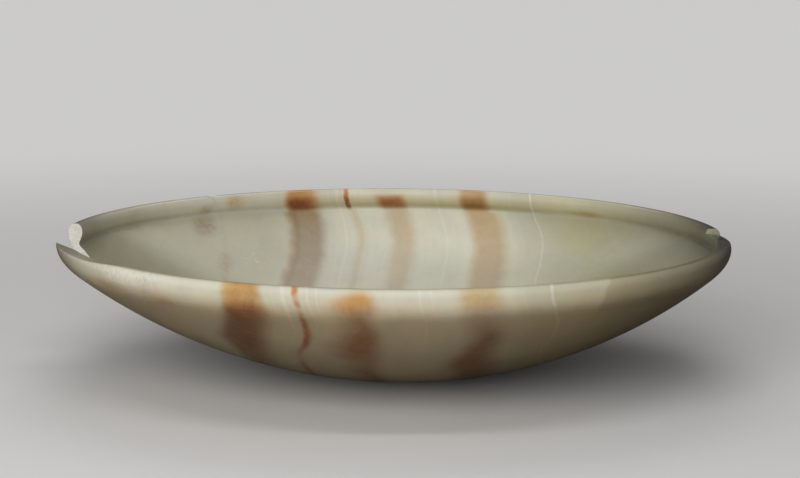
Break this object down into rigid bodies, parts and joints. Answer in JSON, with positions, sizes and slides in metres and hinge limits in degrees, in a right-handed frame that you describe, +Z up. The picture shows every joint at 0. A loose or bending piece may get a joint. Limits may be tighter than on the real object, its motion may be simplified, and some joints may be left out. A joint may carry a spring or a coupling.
{
  "type": "shallow dish",
  "caption": "Shallow round dish carved from solid banded stone, for serving or offering, with a thickened rim, a small flat base and an old break in the rim.",
  "frame": {"origin": "centre of the flat face that the dish rests on", "axes": "+Z up along the dish's axis, -X towards the break in the rim, -Y towards the viewer"},
  "size_m": [0.2491, 0.25, 0.0514],
  "materials": {
    "banded_stone": "polished"
  },
  "bodies": {
    "root": {"dish": "banded_stone"}
  },
  "joints": []
}
